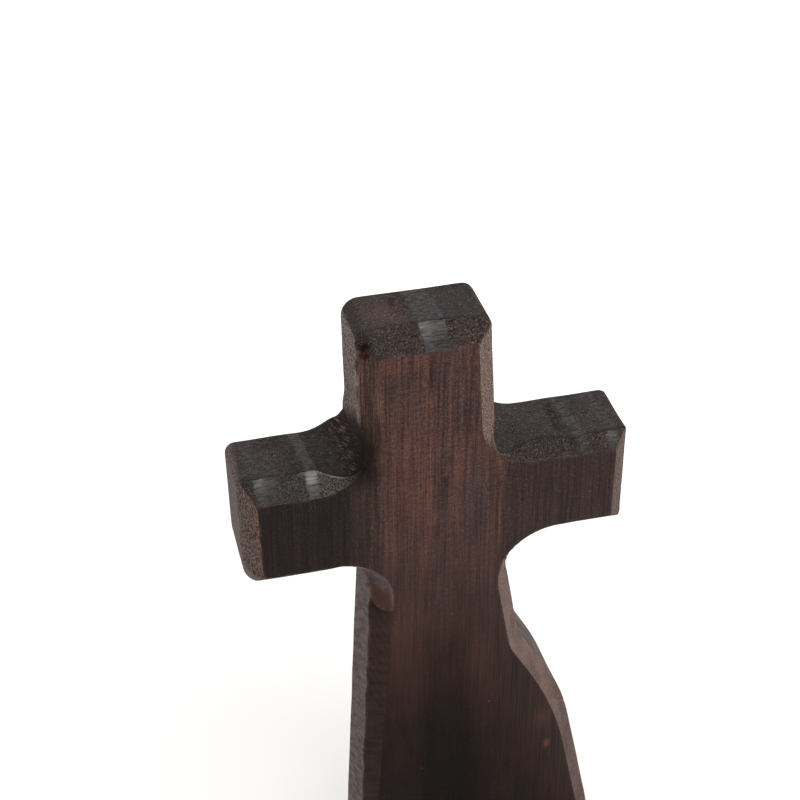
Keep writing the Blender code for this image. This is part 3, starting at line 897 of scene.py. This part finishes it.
# The finish, coat on coat: the amounts that are multiplied, the coat's strength, the pattern that
# takes it from its darker to its lighter colour, how far from 0.5 that pattern reaches them, and its
# roughness
Coat = namedtuple("Coat", "amounts strength pattern spread darker lighter roughness")
COATS = (
    Coat("", 1.0, "lines", 0.15, "#211817", "#2b2120", 0.6),
    Coat("near_heart", 1.0, "lines", 0.15, "#332725", "#423330", 0.6),
    Coat("heart", 1.0, "lines", 0.15, "#4d3631", "#61453e", 0.58),
    Coat("heart", 0.22, "grain", 0.12, "#433230", "#6a473f", 0.58),
    Coat("heart filled_grain", 0.7, "patches", 0.1, "#48322d", "#583e38", 0.6),
    Coat("heart reddish", 0.35, "lines", 0.15, "#5c3b30", "#7a4c3e", 0.58),
    Coat("heart purplish", 0.4, "lines", 0.15, "#3b2c2d", "#504043", 0.58),
    Coat("red", 0.85, "lines", 0.15, "#5e3b34", "#855248", 0.58),
    Coat("grey", 0.95, "lines", 0.15, "#382a2b", "#4c3d41", 0.58),
    # The stem darker towards the foot
    Coat("low_stain", 0.9, "lines", 0.2, "#241410", "#2e1b17", 0.6),
    Coat("low_stain patchy", 0.35, "patches", 0.1, "#2d1813", "#40261f", 0.6),
    Coat("foot_stain", 0.88, "patches", 0.2, "#140a08", "#200f0c", 0.6),
    Coat("black_band", 0.85, "grain", 0.3, "#080403", "#130b09", 0.65),
    Coat("dark", 0.85, "flecks", 0.1, "#150d0c", "#2b1c1a", 0.7),
    Coat("bare", 0.75, "flecks", 0.15, "#75483a", "#a86c52", 0.55),
    Coat("open_grain vessel", 0.22, "flecks", 0.1, "#1d1311", "#33231f", 0.7),
    Coat("open_grain soot", 0.6, "lines", 0.1, "#231714", "#38261f", 0.7),
    Coat("open_grain spark", 0.4, "lines", 0.1, "#73564d", "#94756b", 0.6),
    Coat("open_grain level", 0.3, "lines", 0.1, "#281a17", "#3c2a25", 0.6),
    Coat("left_chamfer", 0.75, "lines", 0.14, "#483530", "#795d53", 0.75),
    Coat("left_chamfer pit", 0.5, "grit", 0.14, "#2b1c18", "#4a342c", 0.75),
    Coat("stem_chamfer", 0.6, "scores", 0.2, "#2a1d1a", "#41302c", 0.75),
    Coat("end_grain", 1.0, "grit", 0.16, "#181211", "#64554f", 0.75),
    Coat("end_grain clump", 0.35, "grit", 0.14, "#15100f", "#3b2e2b", 0.8),
    Coat("end_grain charcoal", 0.6, "grit", 0.16, "#1c1a1a", "#4b4745", 0.72),
    Coat("top", 0.6, "strokes", 0.15, "#161414", "#3b3736", 0.75),
    Coat("pinkish", 0.45, "grit", 0.14, "#2f2120", "#785a55", 0.75),
    Coat("pale_chamfer", 0.6, "grit", 0.12, "#1f1c1a", "#7c756f", 0.7),
    Coat("smooth_chamfer", 0.65, "grit", 0.14, "#2f2e2e", "#4f4d4b", 0.65),
    Coat("dark_top", 0.7, "clumps", 0.14, "#161414", "#302b2b", 0.7),
    Coat("dense_ring", 0.9, "strokes", 0.17, "#1f1e1f", "#4c4a49", 0.6),
    # Painted highlight on the burnished rings
    Coat("burnished", 0.95, "striae", 0.2, "#504f4d", "#b4b2af", 0.45),
    Coat("gouged gouge", 0.85, "grit", 0.1, "#0f0808", "#2a1614", 0.85),
    Coat("torn", 0.85, "grit", 0.1, "#171110", "#302524", 0.85),
    Coat("torn tear", 0.75, "grit", 0.1, "#5c4842", "#987f77", 0.8),
    Coat("head_flank", 0.95, "grit", 0.1, "#2a1e1c", "#9d8b85", 0.85),
    Coat("head_flank pit", 0.85, "lines", 0.1, "#1a100e", "#37231f", 0.85),
    Coat("stem_flank", 0.85, "scores", 0.2, "#483936", "#756864", 0.85),
    Coat("stem_flank pit", 0.35, "lines", 0.1, "#2c1d1a", "#4c3833", 0.85),
    # Painted light with wear on the surfaces facing the right
    Coat("right_flank", 0.85, "patches", 0.12, "#4a3c38", "#70625d", 0.8),
    Coat("rubbed", 0.92, "grit", 0.13, "#46352f", "#9f877e", 0.8),
    Coat("rubbed_low", 0.8, "patches", 0.14, "#5b4743", "#836d67", 0.8),
    Coat("left_end", 0.9, "upright", 0.15, "#352a28", "#8e7b75", 0.8),
    Coat("left_end soot", 0.55, "lines", 0.1, "#231714", "#38261f", 0.8),
    Coat("left_end_side", 0.6, "grit", 0.12, "#2e2523", "#7b6d68", 0.8),
    Coat("by_face", 0.6, "upright", 0.14, "#472f28", "#8a695b", 0.75),
    # Painted light on the lip's upper part
    Coat("pale_lip", 0.85, "patches", 0.1, "#5a4f4c", "#82766f", 0.7),
    Coat("red_lip", 0.75, "patches", 0.1, "#50382f", "#805e52", 0.7),
    Coat("crease", 0.7, "grit", 0.1, "#0f0b0b", "#241c1b", 0.85),
    # Painted highlight along the crease
    Coat("crease_light", 0.8, "grit", 0.1, "#6c625f", "#b4aba7", 0.6),
    Coat("end_grain bright_spark", 0.5, "lines", 0.1, "#8a7873", "#b3a49e", 0.7),
    # Worn arrises with a painted highlight
    Coat("worn_arris", 0.5, "flecks", 0.14, "#6b544c", "#a28a82", 0.65),
    # Painted highlight with worn stain
    Coat("light_arris", 0.75, "flecks", 0.14, "#77635c", "#c6b4ae", 0.65),
    # Painted shade in the inner corner and under the lip
    Coat("gloom", 0.88, "patches", 0.1, "#15100f", "#2a201d", 0.85),
    Coat("chip", 0.5, "grit", 0.1, "#1a0e0c", "#3d2722", 0.9),
    Coat("chip chipped", 1.0, "grit", 0.1, "#080303", "#200c0a", 0.9),
    Coat("dust", 0.55, "flecks", 0.1, "#9a8a82", "#b8aaa2", 0.8),
)

# Thin wax on stained wood has little gloss
WOOD_IOR = 1.5
WOOD_SPECULAR = 0.12

# The bump under the finish: each pattern's height in millimetres, and where it shows
Groove = namedtuple("Groove", "pattern height amounts")
GROOVES = (
    Groove("lines", 0.035, ""),
    Groove("flecks", 0.03, ""),
    Groove("ripple", 0.02, ""),
    Groove("grit", 0.06, "end_grain"),
    Groove("grit", 0.04, "worked"),
    Groove("clumps", 0.12, "end_grain"),
    Groove("drags", 0.10, "head_flank"),
    Groove("pits", 0.14, "head_flank"),
    Groove("scores", 0.07, "stem_flank"),
    Groove("striae", 0.03, "burnished"),
    Groove("tears", 0.08, "torn"),
    Groove("gouges", 0.25, "gouged"),
)


def stained_hardwood():
    """Open-pored quarter-sawn hardwood under dark brown stain and a thin rub of wax.

    The grain's fine lines run upright, the end grain is charcoal and gritty with smooth dense rings that
    carry a painted highlight on the chamfers, and where hands rub it the stain is worn back to a beige,
    made lighter still by painted light where the chamfers face the right. A Mix node's factor is socket 0,
    its numbers are 2 and 3, and its colours are 6 and 7, with output 2.
    """
    material = bpy.data.materials.new("stained_hardwood")
    material.use_nodes = True
    tree = material.node_tree
    shader = tree.nodes["Principled BSDF"]
    sources = {
        "board": add_node(tree, "TexCoord", {}, out="Object"),
        "rim": add_node(tree, "UVMap", {}, uv_map="rim"),
    }

    patterns = {}
    for name, pattern in PATTERNS.items():
        source = sources[pattern.laid_on]
        turned = add_node(tree, "Mapping", {"Vector": source, "Rotation": (0, 0, pattern.slant)})
        scale = [1 / (length * MM) for length in pattern.size]
        scaled = add_node(tree, "Mapping", {"Vector": turned, "Scale": scale})
        noise = {"Vector": scaled, "Scale": 1.0, "Detail": pattern.detail, "Roughness": pattern.roughness}
        patterns[name] = add_node(tree, "TexNoise", noise)

    cell = {"Vector": sources["board"], "Scale": 1 / (DUST_SPACING * MM)}
    away = add_node(tree, "TexVoronoi", cell)
    amounts = {"dust": add_node(tree, "MapRange", {"Value": away, "From Min": DUST_RADIUS, "From Max": 0.0})}
    for name, share in SHARES.items():
        span = {"Value": patterns[share.pattern], "From Min": share.none, "From Max": share.full}
        amounts[name] = add_node(tree, "MapRange", span)
    wanted = {name for layer in COATS + GROOVES for name in layer.amounts.split()}
    for name in sorted(wanted - set(amounts)):
        amounts[name] = add_node(tree, "Attribute", {}, out="Fac", attribute_name=name)

    colour, roughness = linear(COATS[0].darker), COATS[0].roughness
    for coat in COATS:
        amount = coat.strength
        for name in coat.amounts.split():
            amount = add_node(tree, "Math", {0: amounts[name], 1: amount}, operation="MULTIPLY")
        span = {"Value": patterns[coat.pattern], "From Min": 0.5 - coat.spread, "From Max": 0.5 + coat.spread}
        tones = {0: add_node(tree, "MapRange", span), 6: linear(coat.darker), 7: linear(coat.lighter)}
        tint = add_node(tree, "Mix", tones, out=2, data_type="RGBA")
        colour = add_node(tree, "Mix", {0: amount, 6: colour, 7: tint}, out=2, data_type="RGBA")
        roughness = add_node(tree, "Mix", {0: amount, 2: roughness, 3: coat.roughness})

    height = 0.0
    for groove in GROOVES:
        share = groove.height * MM
        for name in groove.amounts.split():
            share = add_node(tree, "Math", {0: amounts[name], 1: share}, operation="MULTIPLY")
        added = {0: patterns[groove.pattern], 1: share, 2: height}
        height = add_node(tree, "Math", added, operation="MULTIPLY_ADD")
    bump = add_node(tree, "Bump", {"Height": height, "Strength": 1.0, "Distance": 1.0})

    tree.links.new(colour, shader.inputs["Base Color"])
    tree.links.new(roughness, shader.inputs["Roughness"])
    tree.links.new(bump, shader.inputs["Normal"])
    shader.inputs["IOR"].default_value = WOOD_IOR
    shader.inputs["Specular IOR Level"].default_value = WOOD_SPECULAR
    return material


def placed(name, data):
    """Puts a new object that shows the data into the scene, and returns it."""
    thing = bpy.data.objects.new(name, data)
    bpy.context.scene.collection.objects.link(thing)
    return thing


def carved_cross():
    """The carved mesh in its material, in place of the plain solid."""
    cross = placed("carved_cross", carved_mesh())
    cross.data.materials.append(stained_hardwood())
    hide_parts("wooden_cross")
    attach(cross, "root")


# The studio: a pale floor all round and soft white light
FLOOR_REACH = 3.0
FLOOR_DROP = 0.00005
FLOOR_COLOUR = "#fbfaf8"
FLOOR_ROUGHNESS = 0.9
FLOOR_SPECULAR = 0.1
WORLD_STRENGTH = 0.42
CROSS_MIDDLE = (0.0, 0.0, 0.13)

# The lamps: each one's place, what it points at, its width and height, and its power
Softbox = namedtuple("Softbox", "name place target size watts")
SOFTBOXES = (
    Softbox("backdrop", (0.0, 0.70, 0.75), (0.0, 0.90, 0.0), (1.8, 0.7), 14.5),
    Softbox("front_above", (0.22, -0.60, 0.95), CROSS_MIDDLE, (0.7, 0.55), 3.2),
    Softbox("right_side", (0.95, -0.15, 0.45), CROSS_MIDDLE, (0.6, 0.6), 1.8),
)


def pale_floor():
    """One large square of matt white card, a hair below the foot."""
    mesh = bpy.data.meshes.new("floor")
    corners = [(-1, -1), (1, -1), (1, 1), (-1, 1)]
    places = [(x * FLOOR_REACH, y * FLOOR_REACH, -FLOOR_DROP) for x, y in corners]
    mesh.from_pydata(places, [], [(0, 1, 2, 3)])
    floor = placed("floor", mesh)
    material = bpy.data.materials.new("matt_white_card")
    material.use_nodes = True
    shader = material.node_tree.nodes["Principled BSDF"]
    shader.inputs["Base Color"].default_value = linear(FLOOR_COLOUR)
    shader.inputs["Roughness"].default_value = FLOOR_ROUGHNESS
    shader.inputs["Specular IOR Level"].default_value = FLOOR_SPECULAR
    mesh.materials.append(material)


def add_softbox(softbox):
    """A rectangular lamp at its place, turned to its target."""
    light = bpy.data.lights.new(softbox.name, "AREA")
    light.shape = "RECTANGLE"
    light.size, light.size_y = softbox.size
    light.energy = softbox.watts
    lamp = placed(softbox.name, light)
    towards = Vector(softbox.target) - Vector(softbox.place)
    turned = towards.to_track_quat("-Z", "Y").to_matrix().to_4x4()
    lamp.matrix_world = Matrix.Translation(softbox.place) @ turned


def studio_light():
    """White light from all round, and the softboxes."""
    world = bpy.data.worlds.new("white_room")
    world.use_nodes = True
    background = world.node_tree.nodes["Background"]
    background.inputs["Color"].default_value = linear("#ffffff")
    background.inputs["Strength"].default_value = WORLD_STRENGTH
    bpy.context.scene.world = world
    for softbox in SOFTBOXES:
        add_softbox(softbox)
    bpy.context.scene.view_settings.view_transform = "Standard"


# The camera: left of the front and above it, fitted to the board's edges
CAMERA_AZIMUTH = math.radians(14.2)
CAMERA_ELEVATION = math.radians(36.0)
CAMERA_DISTANCE = 0.500
CAMERA_TARGET = (-0.0056, 0.0062, 0.1714)
SENSOR_WIDTH = 36.0
FOCAL_LENGTH = 89.3
NEAREST = 0.01


def photo_camera():
    """A camera that looks at its target from the left and above, at its distance."""
    flat = math.cos(CAMERA_ELEVATION)
    forward = Vector((
        math.sin(CAMERA_AZIMUTH) * flat,
        math.cos(CAMERA_AZIMUTH) * flat,
        -math.sin(CAMERA_ELEVATION),
    ))
    data = bpy.data.cameras.new("photo_camera")
    data.sensor_width = SENSOR_WIDTH
    data.lens = FOCAL_LENGTH
    data.clip_start = NEAREST
    camera = placed("photo_camera", data)
    camera.location = Vector(CAMERA_TARGET) - forward * CAMERA_DISTANCE
    camera.rotation_euler = forward.to_track_quat("-Z", "Y").to_euler()
    bpy.context.scene.camera = camera


carved_cross()
pale_floor()
studio_light()
photo_camera()
